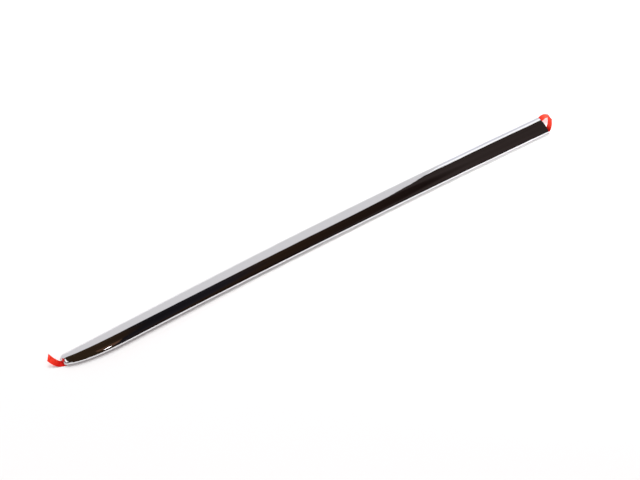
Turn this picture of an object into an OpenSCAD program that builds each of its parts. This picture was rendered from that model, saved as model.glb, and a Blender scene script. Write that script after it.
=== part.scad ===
// Adhesive-backed body side moulding with its tapes and release liners.
// X runs from the swept tip to the cut end, +Y is the upper edge on the car, +Z points away from the panel.
// The origin is the bottom centre of the whole part, and Z = 0 is the face of the release liners.

/* [Moulding] */
// Length from the tip to the cut end
moulding_len = 950; // [700:10:1200]
// Width of the full section
moulding_w = 40; // [37:1:52]
// Height of the crest above the liners' face
moulding_h = 12; // [10.5:0.5:15]
// Radius of the gentle curve that the strip follows in plan
bow_r = 19000; // [12000:1000:60000]
// Thickness of the outer wall over the cored bays
wall = 2.6; // [2:0.1:3.4]
// Lean of the cut end, with the lower edge the longer one
end_rake = 3; // [0:1:12]

/* [Section] */
// Place of the crest, measured from the front edge as a share of the width
crest_share = 0.425; // [0.35:0.005:0.55]
// How much further back the crest lies at the tip, as a share of the width
crest_shift = 0.06; // [0:0.005:0.1]
// Softness of the crest on the front face, where 2 is an ellipse and less is sharper
front_crest = 1.5; // [1.3:0.05:2]
// Fullness of the front shoulder, where 2 is an ellipse and more is squarer
front_shoulder = 3; // [2:0.1:4]
// Softness of the crest on the rear flank
rear_crest = 1.6; // [1.3:0.05:2]
// Fullness of the rear flank's foot
rear_shoulder = 2.2; // [1.8:0.1:3]

/* [Tip] */
// Length over which the front edge sweeps back
tip_len = 108; // [90:2:150]
// Fullness of that sweep, where 2 is an ellipse and less is straighter
tip_fullness = 1.6; // [1.3:0.1:2]
// Width of the nose
tip_w = 18; // [16:1:22]
// Height of the crest at the nose, above the liners' face
tip_h = 8.6; // [7.5:0.1:10]
// Height of the nose's upright rim, above its lower edge
nose_rim = 2.4; // [1.5:0.1:3.5]
// Length over which the nose rounds down
nose_len = 12; // [8:0.5:16]
// Radius of the nose's rear corner in plan
nose_r = 5; // [3:0.5:7]
// Length over which both edges draw in towards the tip
taper_len = 570; // [350:10:700]
// How far the rear edge draws in at the tip
rear_taper = 2.3; // [0:0.1:3]
// How far the front edge draws in where it meets the tip's sweep
front_taper = 0.8; // [0:0.1:3]

/* [Tape] */
// Width of each tape
tape_w = 11; // [8:0.5:11.5]
// Thickness of the foam
foam_t = 1.2; // [0.8:0.1:1.6]
// Thickness of the release liner
liner_t = 0.2; // [0.15:0.05:0.3]
// Depth of the seat that each tape is pressed into
seat_depth = 0.9; // [0.5:0.1:1]
// Width of the rim between the moulding's edge and a tape's seat
rim_w = 2.1; // [1.6:0.1:2.6]
// Gap round each tape in its seat
seat_gap = 0.4; // [0.2:0.1:0.6]
// Distance from the cut end to the tapes
end_margin = 6; // [4:1:12]
// Distance from the tip to the lower tape
lower_start = 27; // [26:1:40]
// Distance from the tip to the upper tape
upper_start = 70; // [60:5:110]
// How far the lower tape draws back towards the nose
tape_sweep = 13.2; // [12:0.2:14]

/* [Cored bays] */
// Distance from the tip to the first bay
bay_start = 130; // [120:5:180]
// Spacing of the cross ribs
rib_pitch = 40; // [25:1:80]
// Thickness of each cross rib
rib_t = 1.4; // [1:0.1:2.4]
// Wall between a bay and the tape seat beside it
bay_wall = 1.2; // [0.8:0.1:1.8]
// Thickness of the wall that closes the cut end
end_wall = 3; // [2:0.5:6]

/* [Hidden] */

chrome_colour = [0.78, 0.79, 0.81];
foam_colour = [0.16, 0.16, 0.17];
liner_colour = [0.90, 0.14, 0.09];

// Numbers of steps along and across the moulding, and along a liner's tab.
tip_steps = 18;
straight_steps = 16;
section_steps = 10;
tape_steps = 12;
roof_steps = 8;
tab_steps = 4;

rim_z = liner_t + foam_t - seat_depth;
seat_z = liner_t + foam_t;
lower_y = -moulding_w / 2 + rim_w + seat_gap + tape_w / 2;
upper_y = -lower_y;
rear_at_tip = moulding_w / 2 - rear_taper;
front_at_tip = rear_at_tip - tip_w;

// The tabs, as points of a centre line [x, y, z] with the film's twist in degrees about it.
// x is along the moulding from its tip or its cut end, y is across it from the liner's own line,
// and z is above the floor.
film_z = liner_t / 2;
tip_tab = [
    [lower_start, 0, film_z, 0], [14, 2.4, film_z, 0], [6, 4.1, film_z, 0], [0, 5.4, film_z, 0],
    [-4, 6.8, 0.5, -4], [-7.5, 8.6, 1.9, -14], [-11, 11.2, 4, -26], [-15, 16, 7, -38], [-18, 21.4, 10, -45]
];
upper_tab = [
    [-end_margin, 0, film_z, 0], [0, 0, film_z, 0], [2.5, 0, 0.9, 0], [6, 0, 4.4, -4],
    [11, -0.4, 7.4, -10], [16.5, -1.2, 6.4, -16], [21.5, -2.4, 4, -20]
];
lower_tab = [
    [-end_margin, 0, film_z, 0], [0, 0, film_z, 0], [2.6, 0.1, 0.7, 0], [5.2, 0.6, 3.8, 0],
    [6.8, 1.4, 10, 0], [7.4, 2.4, 17, 0], [7.4, 3.3, 24, 0], [7.2, 4, 29.5, 0]
];
// How far each corner of a tab's free end is ahead of or behind the middle.
tip_tab_skew = -5;
end_tab_skew = 0.8;
// A tab starts this far back inside its liner, and is this much slimmer on each side and face,
// so that the two are one film.
tab_lap = 2;
tab_inset_w = 0.2;
tab_inset_t = 0.01;

left_reach = -min([for (s = ribbon_path(tip_tab)) s[0]]);
right_reach = max([for (s = ribbon_path(upper_tab)) s[0]]);
tip_x = -moulding_len / 2 + (left_reach - right_reach) / 2;
bow_depth = bow_r - sqrt(bow_r ^ 2 - (moulding_len / 2) ^ 2);

// Height of the plan curve's middle over x.
function bow(x) = sqrt(bow_r ^ 2 - x ^ 2) - bow_r + bow_depth / 2;
// A point u along the moulding from its tip and y across it, in the part's frame.
function at(u, y, z) = [tip_x + u, bow(tip_x + u) + y, z];

// 1 at the tip and 0 where the full section begins.
function tipness(u) = 1 - min(u / tip_len, 1);

// A smooth share that grows from 0 to 1 towards the tip.
function drawn_in(u) =
    let (t = 1 - min(u / taper_len, 1))
    t * t * (3 - 2 * t);

function front_edge(u) =
    let (full = moulding_w / 2 - front_taper * drawn_in(u))
    front_at_tip - (full + front_at_tip) * (1 - tipness(u) ^ 2) ^ (1 / tip_fullness);
function rear_edge(u) =
    moulding_w / 2 - rear_taper * drawn_in(u)
    - (u < nose_r ? nose_r - sqrt(nose_r ^ 2 - (nose_r - u) ^ 2) : 0);
function crest_y(u) =
    front_edge(u) + (crest_share + crest_shift * drawn_in(u) ^ 3) * (rear_edge(u) - front_edge(u));
function nose_round(u) = u < nose_len ? sqrt(1 - (1 - u / nose_len) ^ 2) : 1;
// Height of the crest over the moulding's lower edge.
function crest_rise(u) =
    let (full = moulding_h - (moulding_h - tip_h) * tipness(u) ^ 2 - rim_z)
    nose_rim + (full - nose_rim) * nose_round(u);

// One side of the section, from its edge (a = 0) to the crest (a = 90), as shares of its width and height.
function dome(a, crest, shoulder) = [cos(a) ^ (2 / crest), sin(a) ^ (2 / shoulder)];
function section_point(u, a, front) =
    let (
        d = front ? dome(a, front_crest, front_shoulder) : dome(a, rear_crest, rear_shoulder),
        edge = front ? front_edge(u) : rear_edge(u)
    )
    [crest_y(u) + d[0] * (edge - crest_y(u)), rim_z + d[1] * crest_rise(u)];
// The outer section at u, from the front edge over the crest to the rear edge.
function section(u) = [
    for (k = [0:section_steps]) section_point(u, 90 * k / section_steps, true),
    for (k = [section_steps - 1:-1:0]) section_point(u, 90 * k / section_steps, false)
];
// Height of the outer surface at u along and y across, past the nose.
function surface_z(u, y) =
    let (
        front = y < crest_y(u),
        edge = front ? front_edge(u) : rear_edge(u),
        crest = front ? front_crest : rear_crest,
        shoulder = front ? front_shoulder : rear_shoulder,
        share = (y - crest_y(u)) / (edge - crest_y(u))
    )
    rim_z + crest_rise(u) * (1 - share ^ crest) ^ (1 / shoulder);

// How far the cut end stands past a square cut at y across.
function rake(y) = -y * tan(end_rake);

stations = [
    for (k = [0:tip_steps]) tip_len * (1 - cos(90 * k / tip_steps)),
    for (k = [1:straight_steps]) tip_len + (moulding_len - tip_len) * k / straight_steps
];

// Joins rings of equally many points into a closed solid, in order from low x to high x.
module loft(rings) {
    n = len(rings[0]);
    last = len(rings) - 1;
    walls = [
        for (i = [0:last - 1], j = [0:n - 1])
            let (a = i * n + j, b = i * n + (j + 1) % n)
            each [[a, b, b + n], [a, b + n, a + n]]
    ];
    // The ends are fans from the first point, which suits outlines that it sees whole.
    first_cap = [for (j = [1:n - 2]) [0, j + 1, j]];
    last_cap = [for (j = [1:n - 2]) [last * n, last * n + j, last * n + j + 1]];
    polyhedron(points = [for (r = rings) each r], faces = concat(walls, first_cap, last_cap));
}

module outer_form() {
    loft([
        for (u = stations) [
            for (p = section(u))
                let (slide = u >= moulding_len ? rake(p[0]) : 0)
                at(u, p[0], p[1]) + [slide, 0, 0]
        ]
    ]);
}

// Centre of each tape across the moulding, which keeps its distance from the edge beside it.
function upper_tape_y(u) = upper_y - rear_taper * drawn_in(u);
function lower_tape_y(u) = lower_y + front_taper * drawn_in(u) + tape_sweep * tipness(u) ^ 2;
// How steeply the lower tape draws back at u, towards the tip.
function lower_tape_slope(u) = 2 * tape_sweep * tipness(u) / tip_len;
function tape_y(u, upper) = upper ? upper_tape_y(u) : lower_tape_y(u);
function tape_end(y) = moulding_len - end_margin + rake(y);

// Plan outline of a tape, grown by extra all round.
module tape_plan(upper, extra) {
    start = (upper ? upper_start : lower_start) - extra;
    swept = max(tip_len, start + 1);
    us = [
        for (k = [0:tape_steps]) start + (swept - start) * k / tape_steps,
        for (k = [1:tape_steps]) swept + (tape_end(tape_y(moulding_len, upper)) + extra - swept) * k / tape_steps
    ];
    half = tape_w / 2 + extra;
    front = [for (u = us) at(u, tape_y(u, upper) - half)];
    rear = [for (i = [len(us) - 1:-1:0]) at(us[i], tape_y(us[i], upper) + half)];
    polygon([for (p = concat(front, rear)) [p[0], p[1]]]);
}

module tape_seat(upper) {
    translate([0, 0, rim_z - 1])
        linear_extrude(seat_z - rim_z + 1) tape_plan(upper, seat_gap);
}

// The bays between the tape seats, from the back up to the wall's inner face.
bay_offset = tape_w / 2 + seat_gap + bay_wall;
bay_count = floor((moulding_len - end_wall - bay_start + rib_t) / rib_pitch);
module bay(u) {
    front = lower_tape_y(u) + bay_offset;
    rear = upper_tape_y(u) - bay_offset;
    middle = at(u + (rib_pitch - rib_t) / 2, 0, 0);
    turn = -asin(middle[0] / bow_r);
    roof = [
        for (k = [roof_steps:-1:0])
            let (y = front + (rear - front) * k / roof_steps)
            [y, surface_z(u, y) - wall]
    ];
    translate(middle)
        rotate([90, 0, 90 + turn])
            linear_extrude(rib_pitch - rib_t, center = true)
                polygon(concat([[front, -1], [rear, -1]], roof));
}

module moulding() {
    color(chrome_colour)
        difference() {
            outer_form();
            tape_seat(true);
            tape_seat(false);
            for (i = [0:bay_count - 1])
                bay(bay_start + i * rib_pitch);
        }
}

module foam_tape(upper) {
    color(foam_colour)
        translate([0, 0, liner_t])
            linear_extrude(foam_t) tape_plan(upper, 0);
}
module foam_tape_upper() foam_tape(true);
module foam_tape_lower() foam_tape(false);

// A smooth curve through the points p, with n steps between one point and the next.
function through(a, b, c, d, t) =
    b + (c - a) * t / 2 + (a - 2.5 * b + 2 * c - d / 2) * t ^ 2 + (1.5 * (b - c) + (d - a) / 2) * t ^ 3;
function ribbon_path(p) = [
    for (i = [0:len(p) - 2], k = [0:tab_steps - 1])
        through(p[max(i - 1, 0)], p[i], p[i + 1], p[min(i + 2, len(p) - 1)], k / tab_steps),
    p[len(p) - 1]
];

function unit(v) = v / norm(v);

// The same ring, lifted where it would dip below the floor.
function floored(ring) =
    let (low = min([for (p = ring) p[2]]))
    [for (p = ring) p + [0, 0, max(0, -low)]];

// The width's directions along a path: each is the one before it, turned square to the path.
function carried(dirs, before, i = 0) =
    i == len(dirs) ? [] :
    let (here = unit(before - (before * dirs[i]) * dirs[i]))
    concat([here], carried(dirs, here, i + 1));

// A tab of film along a centre line, with its first ring square to X, lap being its first step back.
module ribbon(points, lap, skew) {
    path = concat([points[0] + lap], ribbon_path(points));
    half_w = tape_w / 2 - tab_inset_w;
    half_t = liner_t / 2 - tab_inset_t;
    last = len(path) - 1;
    dirs = [
        for (i = [0:last])
            let (ahead = path[min(i + 1, last)] - path[max(i - 1, 0)])
            i == 0 ? [sign(ahead[0]), 0, 0] : unit([ahead[0], ahead[1], ahead[2]])
    ];
    flat = carried(dirs, cross([0, 0, 1], dirs[0]));
    loft([
        for (i = [0:last])
            let (
                here = [path[i][0], path[i][1], path[i][2]],
                across = cos(path[i][3]) * flat[i] + sin(path[i][3]) * cross(dirs[i], flat[i]),
                face = cross(dirs[i], across),
                slide = i == last ? skew * dirs[i] : [0, 0, 0]
            )
            floored([
                here - across * half_w - face * half_t - slide,
                here - across * half_w + face * half_t - slide,
                here + across * half_w + face * half_t + slide,
                here + across * half_w - face * half_t + slide
            ])
    ]);
}

// The tab that folds out past the tip.
module tab_at_tip() {
    back = [tab_lap, -lower_tape_slope(lower_start) * tab_lap, 0, 0];
    translate(at(lower_start, lower_tape_y(lower_start), 0))
        translate([-lower_start, 0, 0]) ribbon(tip_tab, back, tip_tab_skew);
}

module tab_at_end(upper, points) {
    y = tape_y(moulding_len, upper);
    translate(at(tape_end(y), y, 0))
        translate([end_margin, 0, 0]) ribbon(points, [-tab_lap, 0, 0, 0], end_tab_skew);
}

module liner_strip(upper) {
    linear_extrude(liner_t) tape_plan(upper, 0);
}

module release_liner_upper() {
    color(liner_colour)
        union() {
            liner_strip(true);
            tab_at_end(true, upper_tab);
        }
}

module release_liner_lower() {
    color(liner_colour)
        union() {
            liner_strip(false);
            tab_at_end(false, lower_tab);
            tab_at_tip();
        }
}

moulding();
foam_tape_upper();
foam_tape_lower();
release_liner_upper();
release_liner_lower();
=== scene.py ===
# Adhesive-backed chrome side moulding, lying face up on a white floor.
import math

import bmesh
import bpy
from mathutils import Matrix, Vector


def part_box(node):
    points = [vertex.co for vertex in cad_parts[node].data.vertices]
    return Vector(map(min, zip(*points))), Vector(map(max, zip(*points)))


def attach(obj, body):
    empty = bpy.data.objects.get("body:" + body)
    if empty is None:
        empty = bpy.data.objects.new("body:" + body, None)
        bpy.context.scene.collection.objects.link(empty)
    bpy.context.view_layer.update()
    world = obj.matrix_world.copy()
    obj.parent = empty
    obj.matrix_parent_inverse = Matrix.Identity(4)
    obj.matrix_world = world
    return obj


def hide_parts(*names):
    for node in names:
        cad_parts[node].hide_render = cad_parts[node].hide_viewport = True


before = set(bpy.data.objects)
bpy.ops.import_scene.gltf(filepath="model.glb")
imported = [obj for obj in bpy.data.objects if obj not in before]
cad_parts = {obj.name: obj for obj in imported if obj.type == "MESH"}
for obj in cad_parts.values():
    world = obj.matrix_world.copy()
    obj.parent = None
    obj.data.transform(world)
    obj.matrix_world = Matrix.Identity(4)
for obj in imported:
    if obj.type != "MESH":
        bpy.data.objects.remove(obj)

scene = bpy.context.scene
scene.view_settings.view_transform = "Standard"
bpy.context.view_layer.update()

MM = 0.001

# Camera, found from the strip's outline in a 640 by 480 picture.
AZIMUTH = -31.12
ELEVATION = 55.79
DISTANCE = 4.2
FOCAL_OVER_DISTANCE = 586.5
LOOK_AT = Vector((0.0128, -0.0085, 0.0))
SENSOR = 36.0
PICTURE_W = 640

# The moulding's sizes, as the solids have them, in metres.
moulding_low, moulding_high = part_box("moulding")
LENGTH = 950 * MM
WIDTH = 40 * MM
CREST = 12 * MM
RIM = 0.5 * MM
BOW_RADIUS = 19.0
END_RAKE = math.radians(3)
TIP_LEN = 108 * MM
TIP_FULLNESS = 1.6
TAPER_LEN = 570 * MM
TIP_W = 18 * MM
TIP_H = 8.6 * MM
NOSE_RIM = 2.4 * MM
NOSE_LEN = 12 * MM
NOSE_R = 5 * MM
REAR_TAPER = 2.3 * MM
FRONT_TAPER = 0.8 * MM
CREST_SHARE = 0.425
CREST_SHIFT = 0.06
FRONT_CREST, FRONT_SHOULDER = 1.5, 3.0
REAR_CREST, REAR_SHOULDER = 1.6, 2.2
WALL = 2.6 * MM

TIP_X = moulding_low.x
BOW_DEPTH = BOW_RADIUS - math.sqrt(BOW_RADIUS**2 - (LENGTH / 2) ** 2)
REAR_AT_TIP = WIDTH / 2 - REAR_TAPER
FRONT_AT_TIP = REAR_AT_TIP - TIP_W

# The tapes' seats and the cored bays between them.
TAPE_W = 11 * MM
TAPE_Y = 12 * MM
TAPE_SWEEP = 13.2 * MM
SEAT_GAP = 0.4 * MM
SEAT_Z = 1.4 * MM
END_MARGIN = 6 * MM
LOWER_START = 27 * MM
UPPER_START = 70 * MM
BAY_START = 130 * MM
BAY_WALL = 1.2 * MM
RIB_PITCH = 40 * MM
RIB_T = 1.4 * MM
END_WALL = 3 * MM
CUT_BELOW = 1 * MM
PLATED_SKIN = 1.5 * MM

# Steps of the outer face, fine enough for smooth reflections, and of the cuts in the back.
TIP_STEPS = 110
STRAIGHT_STEPS = 90
SIDE_STEPS = 30
SEAT_STEPS = 96
BAY_STEPS = 8
SHARP_ANGLE = math.radians(35)
MERGE_WITHIN = 0.002 * MM

# The floor lies just under the liners, and a small share of its white is its own.
FLOOR_Z = -0.02 * MM
FLOOR_HALF = 6
FLOOR_OWN_WHITE = 0.08
FLOOR_COLOUR = (0.86, 0.86, 0.86, 1)
WHITE = (1, 1, 1, 1)

# The sky's strength, and the share of it that comes from the front.
SKY_LIGHT = 1.25
FRONT_LIGHT = 0.16
KEY_WATTS = 480
SPOT_WATTS = 120

# Painted glow of the thin film, in place of the light that comes through it.
FILM_PAINTED_GLOW = 0.3

# The dark room that the chrome reflects.
ROOM_SIZE = Vector((9, 9, 4))
ROOM_CENTRE = Vector((0, 0, 1.9))


def bow(x):
    return math.sqrt(BOW_RADIUS**2 - x**2) - BOW_RADIUS + BOW_DEPTH / 2


def tipness(u):
    return 1 - min(u / TIP_LEN, 1)


def drawn_in(u):
    t = 1 - min(u / TAPER_LEN, 1)
    return t * t * (3 - 2 * t)


def front_edge(u):
    full = WIDTH / 2 - FRONT_TAPER * drawn_in(u)
    return FRONT_AT_TIP - (full + FRONT_AT_TIP) * max(0, 1 - tipness(u) ** 2) ** (1 / TIP_FULLNESS)


def rear_edge(u):
    corner = NOSE_R - math.sqrt(NOSE_R**2 - (NOSE_R - u) ** 2) if u < NOSE_R else 0
    return WIDTH / 2 - REAR_TAPER * drawn_in(u) - corner


def crest_y(u):
    share = CREST_SHARE + CREST_SHIFT * drawn_in(u) ** 3
    return front_edge(u) + share * (rear_edge(u) - front_edge(u))


def crest_rise(u):
    full = CREST - (CREST - TIP_H) * tipness(u) ** 2 - RIM
    rounding = math.sqrt(max(0, 1 - (1 - u / NOSE_LEN) ** 2)) if u < NOSE_LEN else 1
    return NOSE_RIM + (full - NOSE_RIM) * rounding


def on_section(u, side):
    """A point of the outer face: side runs from -1 at the front edge over 0 at the crest to 1."""
    front = side < 0
    angle = math.pi / 2 * (1 - abs(side))
    crest, shoulder = (FRONT_CREST, FRONT_SHOULDER) if front else (REAR_CREST, REAR_SHOULDER)
    edge = front_edge(u) if front else rear_edge(u)
    middle = crest_y(u)
    y = middle + max(0, math.cos(angle)) ** (2 / crest) * (edge - middle)
    z = RIM + max(0, math.sin(angle)) ** (2 / shoulder) * crest_rise(u)
    slide = -y * math.tan(END_RAKE) if u >= LENGTH else 0
    x = TIP_X + u
    return Vector((x + slide, bow(x) + y, z))


class Socket:
    """A shader value that can be written in sums."""

    def __init__(self, tree, link):
        self.tree, self.link = tree, link

    def _math(self, operation, a, b=0.0):
        return node(self.tree, "ShaderNodeMath", {"operation": operation}, a, b)

    def __add__(self, other):
        return self._math("ADD", self, other)

    def __rsub__(self, other):
        return self._math("SUBTRACT", other, self)

    def __mul__(self, other):
        return self._math("MULTIPLY", self, other)

    __radd__ = __add__


def node(tree, kind, settings=None, *inputs, out=0, **named):
    """Adds a node, sets it up, then fills its sockets by order or by name."""
    made = tree.nodes.new(kind)
    for key, value in (settings or {}).items():
        if key == "stops":
            while len(made.color_ramp.elements) < len(value):
                made.color_ramp.elements.new(1.0)
            for stop, (place, colour) in zip(made.color_ramp.elements, value):
                stop.position, stop.color = place, colour
        else:
            setattr(made, key, value)
    pairs = list(zip(made.inputs, inputs))
    pairs += [(made.inputs[key.replace("_", " ")], value) for key, value in named.items()]
    for socket, value in pairs:
        if isinstance(value, Socket):
            tree.links.new(value.link, socket)
        elif value is not None:
            socket.default_value = value
    return Socket(tree, made.outputs[out]) if made.outputs else None


def material(name):
    made = bpy.data.materials.new(name)
    made.use_nodes = True
    made.node_tree.nodes.clear()
    return made, made.node_tree


def finish_material(tree, shader):
    node(tree, "ShaderNodeOutputMaterial", None, shader)


def chrome():
    """Bright plating with faint haze, specks and waves, and bare grey plastic on the back."""
    made, tree = material("chrome_plating")
    place = node(tree, "ShaderNodeTexCoord", out=3)
    haze = node(tree, "ShaderNodeTexNoise", None, None, place, Scale=35.0, Detail=4.0)
    dust = node(tree, "ShaderNodeTexNoise", None, None, place, Scale=900.0, Detail=2.0)
    rough = 0.010 + haze * 0.016 + dust * 0.010
    waves = node(tree, "ShaderNodeTexNoise", None, None, place, Scale=22.0, Detail=1.0)
    bump = node(tree, "ShaderNodeBump", None, Strength=0.06, Distance=0.0004, Height=waves)
    bare = node(tree, "ShaderNodeAttribute", {"attribute_name": "bare"}, out=2)
    tone = node(
        tree, "ShaderNodeValToRGB",
        {"stops": ((0.0, (0.81, 0.81, 0.83, 1)), (1.0, (0.30, 0.31, 0.33, 1)))}, bare,
    )
    shader = node(
        tree, "ShaderNodeBsdfPrincipled", None,
        Base_Color=tone, Metallic=1.0 - bare, Roughness=rough + bare * 0.45, Normal=bump,
    )
    finish_material(tree, shader)
    return made


def red_film():
    """Red film with painted light: painted paler with height above the floor, where it stands up into the
    light, painted darker near the floor as shade, and given a painted glow.
    """
    made, tree = material("release_film")
    place = node(tree, "ShaderNodeTexCoord", out=3)
    creases = node(tree, "ShaderNodeTexNoise", None, None, place, Scale=140.0, Detail=3.0)
    # Painted light and shade: the film's red is paler the higher it stands above the floor and darker at
    # its foot, with random creases mixed in.
    height = node(tree, "ShaderNodeSeparateXYZ", None, place, out=2)
    lifted = node(tree, "ShaderNodeMapRange", None, height, 0.001, 0.011)
    tone = node(
        tree, "ShaderNodeValToRGB",
        {"stops": ((0.15, (0.50, 0.005, 0.002, 1)), (0.8, (1.0, 0.052, 0.026, 1)))}, lifted + creases * 0.3,
    )
    bump = node(tree, "ShaderNodeBump", None, Strength=0.15, Distance=0.0005, Height=creases)
    # Painted glow: the film emits its own colour, in place of the light that comes through it.
    shader = node(
        tree, "ShaderNodeBsdfPrincipled", None,
        Base_Color=tone, Roughness=0.34 + creases * 0.1, Specular_IOR_Level=0.12,
        Emission_Color=tone, Emission_Strength=FILM_PAINTED_GLOW, Normal=bump,
    )
    finish_material(tree, shader)
    return made


def black_foam():
    made, tree = material("foam_tape")
    place = node(tree, "ShaderNodeTexCoord", out=3)
    cells = node(tree, "ShaderNodeTexVoronoi", None, Vector=place, Scale=1800.0)
    tone = node(
        tree, "ShaderNodeValToRGB",
        {"stops": ((0.1, (0.02, 0.02, 0.022, 1)), (0.8, (0.07, 0.07, 0.075, 1)))}, cells,
    )
    bump = node(tree, "ShaderNodeBump", None, Strength=0.4, Distance=0.0003, Height=cells)
    shader = node(
        tree, "ShaderNodeBsdfPrincipled", None, Base_Color=tone, Roughness=0.85 + cells * 0.1, Normal=bump,
    )
    finish_material(tree, shader)
    return made


def add_object(name, mesh_source, finish=None):
    """Turns a finished bmesh into an object of the scene."""
    mesh = bpy.data.meshes.new(name)
    mesh_source.to_mesh(mesh)
    mesh_source.free()
    if finish:
        mesh.materials.append(finish)
    made = bpy.data.objects.new(name, mesh)
    scene.collection.objects.link(made)
    return made


def add_piece(name, mesh_source, finish, slot, *replaced):
    piece = add_object(name, mesh_source, finish)
    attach(piece, "root")
    if replaced:
        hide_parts(*replaced)
    return piece


def outer_shell():
    """The moulding's outer face as one grid, closed by its ends and its flat back."""
    shell = bmesh.new()
    rows = TIP_STEPS + STRAIGHT_STEPS
    bmesh.ops.create_grid(shell, x_segments=rows, y_segments=2 * SIDE_STEPS, size=0.5)
    for point in shell.verts:
        row = round((point.co.x + 0.5) * rows)
        side = 2 * point.co.y
        if row <= TIP_STEPS:
            u = TIP_LEN * (1 - math.cos(math.pi / 2 * row / TIP_STEPS))
        else:
            u = TIP_LEN + (LENGTH - TIP_LEN) * (row - TIP_STEPS) / STRAIGHT_STEPS
        point.co = on_section(min(u, LENGTH), side)
    bmesh.ops.holes_fill(shell, edges=[edge for edge in shell.edges if edge.is_boundary], sides=0)
    bmesh.ops.recalc_face_normals(shell, faces=shell.faces)
    return shell


def surface_height(u, y):
    """Height of the outer face at u along and y across, past the nose."""
    middle = crest_y(u)
    if y < middle:
        edge, crest, shoulder = front_edge(u), FRONT_CREST, FRONT_SHOULDER
    else:
        edge, crest, shoulder = rear_edge(u), REAR_CREST, REAR_SHOULDER
    share = (y - middle) / (edge - middle)
    return RIM + crest_rise(u) * (1 - share**crest) ** (1 / shoulder)


def upper_tape_y(u):
    return TAPE_Y - REAR_TAPER * drawn_in(u)


def lower_tape_y(u):
    return -TAPE_Y + FRONT_TAPER * drawn_in(u) + TAPE_SWEEP * tipness(u) ** 2


def cut_block(cutter, start, end, steps_along, low, high, steps_across, top):
    """Adds a closed block to the cutter: low and high are its sides at u, and top its height at y."""
    made = bmesh.ops.create_grid(cutter, x_segments=steps_along, y_segments=steps_across, size=0.5)
    floor = made["verts"]
    faces = list({face for point in floor for face in point.link_faces})
    lifted = bmesh.ops.extrude_face_region(cutter, geom=faces, use_keep_orig=True)["geom"]
    roof = {part for part in lifted if isinstance(part, bmesh.types.BMVert)}
    for points, is_roof in ((floor, False), (roof, True)):
        for point in points:
            u = start + (end - start) * (point.co.x + 0.5)
            y = low(u) + (high(u) - low(u)) * (point.co.y + 0.5)
            x = TIP_X + u
            point.co = Vector((x, bow(x) + y, top(y) if is_roof else -CUT_BELOW))


def back_cutter():
    """The tape seats and the cored bays, as closed blocks."""
    cutter = bmesh.new()
    half = TAPE_W / 2 + SEAT_GAP
    seats = ((upper_tape_y, UPPER_START), (lower_tape_y, LOWER_START))
    for centre, start in seats:
        cut_block(
            cutter, start - SEAT_GAP, LENGTH - END_MARGIN + SEAT_GAP, SEAT_STEPS,
            lambda u: centre(u) - half, lambda u: centre(u) + half, 1, lambda y: SEAT_Z,
        )
    offset = half + BAY_WALL
    bays = int((LENGTH - END_WALL - BAY_START + RIB_T) / RIB_PITCH)
    for index in range(bays):
        start = BAY_START + index * RIB_PITCH
        low, high = lower_tape_y(start) + offset, upper_tape_y(start) - offset
        cut_block(
            cutter, start, start + RIB_PITCH - RIB_T, 1,
            lambda u: low, lambda u: high, BAY_STEPS, lambda y: surface_height(start, y) - WALL,
        )
    bmesh.ops.recalc_face_normals(cutter, faces=cutter.faces)
    return cutter


def make_moulding(finish):
    piece = add_piece("moulding_chromed", outer_shell(), finish, "chrome_plating", "moulding")
    tool = add_object("back_cutter", back_cutter())
    cut = piece.modifiers.new("cut_back", "BOOLEAN")
    cut.operation, cut.solver, cut.object = "DIFFERENCE", "EXACT", tool
    scene.view_layers[0].update()
    shaped = bpy.data.meshes.new_from_object(piece.evaluated_get(bpy.context.evaluated_depsgraph_get()))
    piece.modifiers.clear()
    piece.data = shaped
    bpy.data.objects.remove(tool)
    shade_by_angle(shaped, SHARP_ANGLE)
    mark_bare_faces(shaped)
    return piece


def mark_bare_faces(mesh):
    """Marks the flat back, the seats and the bays, which the plating leaves bare."""
    bare = []
    for face in mesh.polygons:
        u = max(0, face.center.x - TIP_X)
        y = face.center.y - bow(face.center.x)
        inside = front_edge(u) + PLATED_SKIN < y < rear_edge(u) - PLATED_SKIN
        inside = inside and PLATED_SKIN < u < LENGTH - PLATED_SKIN
        bare.append(float(face.normal.z < -0.2 or (inside and face.normal.z < 0.02)))
    mesh.attributes.new("bare", "FLOAT", "FACE").data.foreach_set("value", bare)


def shade_by_angle(mesh, angle):
    """Smooth faces, with an edge kept crisp where it bends by more than the angle."""
    mesh.polygons.foreach_set("use_smooth", [True] * len(mesh.polygons))
    mesh.set_sharp_from_angle(angle=angle)


def make_liner(name, finish):
    """A liner keeps its solid's form, merged so that its bends shade smoothly."""
    film = bmesh.new()
    film.from_mesh(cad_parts[name].data)
    bmesh.ops.remove_doubles(film, verts=film.verts, dist=MERGE_WITHIN)
    piece = add_piece(name + "_film", film, finish, "release_film", name)
    shade_by_angle(piece.data, SHARP_ANGLE)
    return piece


def dress(name, finish):
    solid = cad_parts[name]
    solid.data.materials.clear()
    solid.data.materials.append(finish)


def make_camera():
    data = bpy.data.cameras.new("camera")
    camera = bpy.data.objects.new("camera", data)
    scene.collection.objects.link(camera)
    scene.camera = camera
    turn, lift = math.radians(AZIMUTH), math.radians(ELEVATION)
    back = Vector((
        math.sin(turn) * math.cos(lift),
        -math.cos(turn) * math.cos(lift),
        math.sin(lift),
    ))
    camera.location = LOOK_AT + back * DISTANCE
    camera.rotation_euler = (-back).to_track_quat("-Z", "Y").to_euler()
    data.sensor_width = SENSOR
    data.lens = FOCAL_OVER_DISTANCE * DISTANCE * SENSOR / PICTURE_W
    data.clip_start, data.clip_end = 0.1, 50


def glowing(name, colour, strength):
    made, tree = material(name)
    finish_material(tree, node(tree, "ShaderNodeEmission", None, colour, strength))
    return made


def mirror_only(thing):
    """Leaves a card or the room to the chrome's reflections alone."""
    thing.visible_camera = False
    thing.visible_diffuse = False
    thing.visible_shadow = False
    thing.visible_transmission = False
    thing.visible_volume_scatter = False


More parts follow.
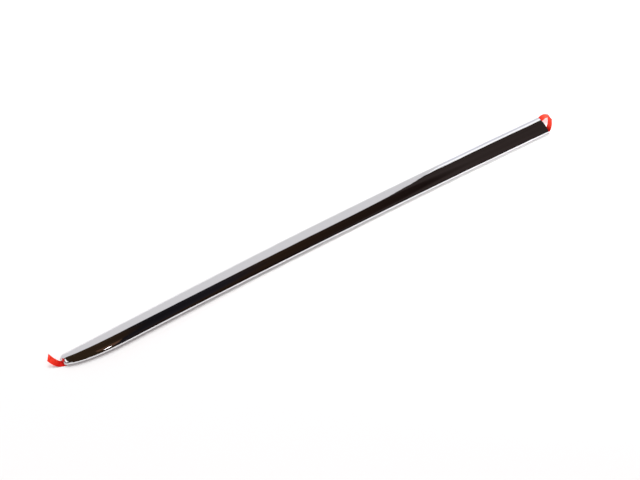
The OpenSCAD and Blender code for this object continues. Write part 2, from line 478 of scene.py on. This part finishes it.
def flat_card(name, finish, centre, across, up):
    """A flat card: across and up are its half sides."""
    card = bmesh.new()
    bmesh.ops.create_grid(card, x_segments=1, y_segments=1, size=1)
    for point in card.verts:
        point.co = Vector(centre) + Vector(across) * point.co.x + Vector(up) * point.co.y
    made = add_object(name, card, finish)
    return made


def make_floor():
    """A white floor that keeps the strip's shadow and is clear to a path that comes from below."""
    floor_white, tree = material("floor_white")
    path = tree.nodes.new("ShaderNodeLightPath")
    camera_ray = Socket(tree, path.outputs["Is Camera Ray"])
    glossy_ray = Socket(tree, path.outputs["Is Glossy Ray"])
    passed = Socket(tree, path.outputs["Transparent Depth"])
    diffuse = node(tree, "ShaderNodeBsdfDiffuse", None, FLOOR_COLOUR)
    glow = node(tree, "ShaderNodeEmission", None, WHITE, 1.0)
    share = (camera_ray + glossy_ray) * FLOOR_OWN_WHITE
    white = node(tree, "ShaderNodeMixShader", None, share, diffuse, glow)
    back_face = node(tree, "ShaderNodeNewGeometry", out=6)
    from_below = node(tree, "ShaderNodeMath", {"operation": "MINIMUM"}, back_face + passed, 1.0)
    clear = node(tree, "ShaderNodeBsdfTransparent")
    finish_material(tree, node(tree, "ShaderNodeMixShader", None, from_below, white, clear))
    flat_card("floor", floor_white, (0, 0, FLOOR_Z), (FLOOR_HALF, 0, 0), (0, FLOOR_HALF, 0))


def make_room():
    """The dark room: its tone changes along x, and a little with the things in it."""
    dark, tree = material("room_dark")
    place = node(tree, "ShaderNodeTexCoord", out=3)
    x = node(tree, "ShaderNodeSeparateXYZ", None, place)
    along = node(tree, "ShaderNodeMapRange", None, x, 0.2, 2.2)
    tone = node(
        tree, "ShaderNodeValToRGB",
        {"stops": (
            (0.00, (0.030, 0.018, 0.010, 1)), (0.14, (0.024, 0.014, 0.009, 1)),
            (0.18, (0.009, 0.008, 0.010, 1)), (0.33, (0.014, 0.012, 0.015, 1)),
            (0.42, (0.022, 0.012, 0.007, 1)), (0.70, (0.012, 0.007, 0.006, 1)),
            (0.78, (0.034, 0.025, 0.023, 1)),
        )}, along,
    )
    clutter = node(tree, "ShaderNodeTexNoise", None, None, place, Scale=3.5, Detail=5.0)
    finish_material(tree, node(tree, "ShaderNodeEmission", None, tone, 0.4 + clutter * 1.2))
    walls = bmesh.new()
    bmesh.ops.create_cube(walls, size=1)
    bmesh.ops.scale(walls, verts=walls.verts, vec=ROOM_SIZE)
    bmesh.ops.translate(walls, verts=walls.verts, vec=ROOM_CENTRE)
    room = add_object("dark_room", walls, dark)
    mirror_only(room)


def make_cards():
    """The cards that give the chrome its bright bands, its spark and its brown patches."""
    for name, colour, strength, centre, across, up in (
        ("ceiling_card", WHITE, 1.15, (-4.3, -0.7, 3.8), (1.5, 0, 0), (0, 1.8, 0)),
        ("ceiling_brown", (1, 0.52, 0.32, 1), 0.10, (0.2, -2.1, 3.8), (0.28, 0, 0), (0, 0.9, 0)),
        ("second_brown", (1, 0.52, 0.36, 1), 0.13, (0.42, -2.9, 3.79), (0.07, 0, 0), (0, 1.0, 0)),
        ("window", (1, 0.97, 0.98, 1), 6.0, (0.26, -3.6, 3.78), (0.06, 0, 0), (0, 0.7, 0)),
        ("left_wall", WHITE, 0.6, (-4.3, 0, 1.4), (0, 3.5, 0), (0, 0, 1.0)),
        ("front_left", WHITE, 0.6, (-2.9, -4.3, 1.3), (1.2, 0, 0), (0, 0, 1.1)),
        ("tab_glow", (1, 0.06, 0.06, 1), 0.6, (-0.495, 0.014, 0.016), (0, 0.012, 0), (0, 0, 0.014)),
        ("white_card", (1, 0.985, 1, 1), 0.75, (-0.939, 0.76, 0.655), (1.5, 0, 0), (0, 0, 0.655)),
        ("high_backdrop", WHITE, 1.18, (0.5, 2.2, 1.12), (3, 0, 0), (0, 0, 0.30)),
        ("low_backdrop", (0.86, 0.86, 0.93, 1), 0.88, (0.5, 2.2, 0.41), (3, 0, 0), (0, 0, 0.41)),
    ):
        mirror_only(flat_card(name, glowing(name, colour, strength), centre, across, up))


def make_world():
    """White to the eye and in reflections. Its light comes mostly from behind the strip."""
    world = bpy.data.worlds.new("white")
    scene.world = world
    world.use_nodes = True
    tree = world.node_tree
    tree.nodes.clear()
    path = tree.nodes.new("ShaderNodeLightPath")
    seen = (
        Socket(tree, path.outputs["Is Camera Ray"])
        + Socket(tree, path.outputs["Is Glossy Ray"])
        + Socket(tree, path.outputs["Is Transmission Ray"])
    )
    level = node(tree, "ShaderNodeMath", {"operation": "MINIMUM"}, seen, 1.0)
    direction_y = node(tree, "ShaderNodeSeparateXYZ", None, node(tree, "ShaderNodeTexCoord"), out=1)
    rear = node(
        tree, "ShaderNodeMapRange", {"interpolation_type": "SMOOTHSTEP"},
        direction_y, -0.5, 0.5, 0.0, 1.0,
    )
    front = (FRONT_LIGHT, 0.72 * FRONT_LIGHT, 0.74 * FRONT_LIGHT, 1)
    tint = node(tree, "ShaderNodeValToRGB", {"stops": ((0.0, front), (1.0, WHITE))}, rear)
    light = node(tree, "ShaderNodeBackground", None, tint, SKY_LIGHT)
    plain = node(tree, "ShaderNodeBackground", None, WHITE, 1.0)
    node(tree, "ShaderNodeOutputWorld", None, node(tree, "ShaderNodeMixShader", None, level, light, plain))


def add_lamp(name, data, place, target):
    lamp = bpy.data.objects.new(name, data)
    scene.collection.objects.link(lamp)
    lamp.location = place
    lamp.rotation_euler = (Vector(place) - Vector(target)).to_track_quat("Z", "Y").to_euler()
    lamp.visible_glossy = False


def make_lamps():
    key = bpy.data.lights.new("key_lamp", "AREA")
    key.shape, key.size, key.energy = "DISK", 3.6, KEY_WATTS
    add_lamp("key_lamp", key, (3.0, 4.8, 5.7), (0, 0, 0))
    spot = bpy.data.lights.new("end_spot", "SPOT")
    spot.energy, spot.shadow_soft_size = SPOT_WATTS, 0.3
    spot.spot_size, spot.spot_blend = math.radians(28), 0.5
    add_lamp("end_spot", spot, (1.3, -1.2, 1.0), (0.5, 0, 0))


make_camera()
make_moulding(chrome())
film_finish = red_film()
for liner in ("release_liner_upper", "release_liner_lower"):
    make_liner(liner, film_finish)
foam_finish = black_foam()
for tape in ("foam_tape_upper", "foam_tape_lower"):
    dress(tape, foam_finish)
make_floor()
make_room()
make_cards()
make_world()
make_lamps()
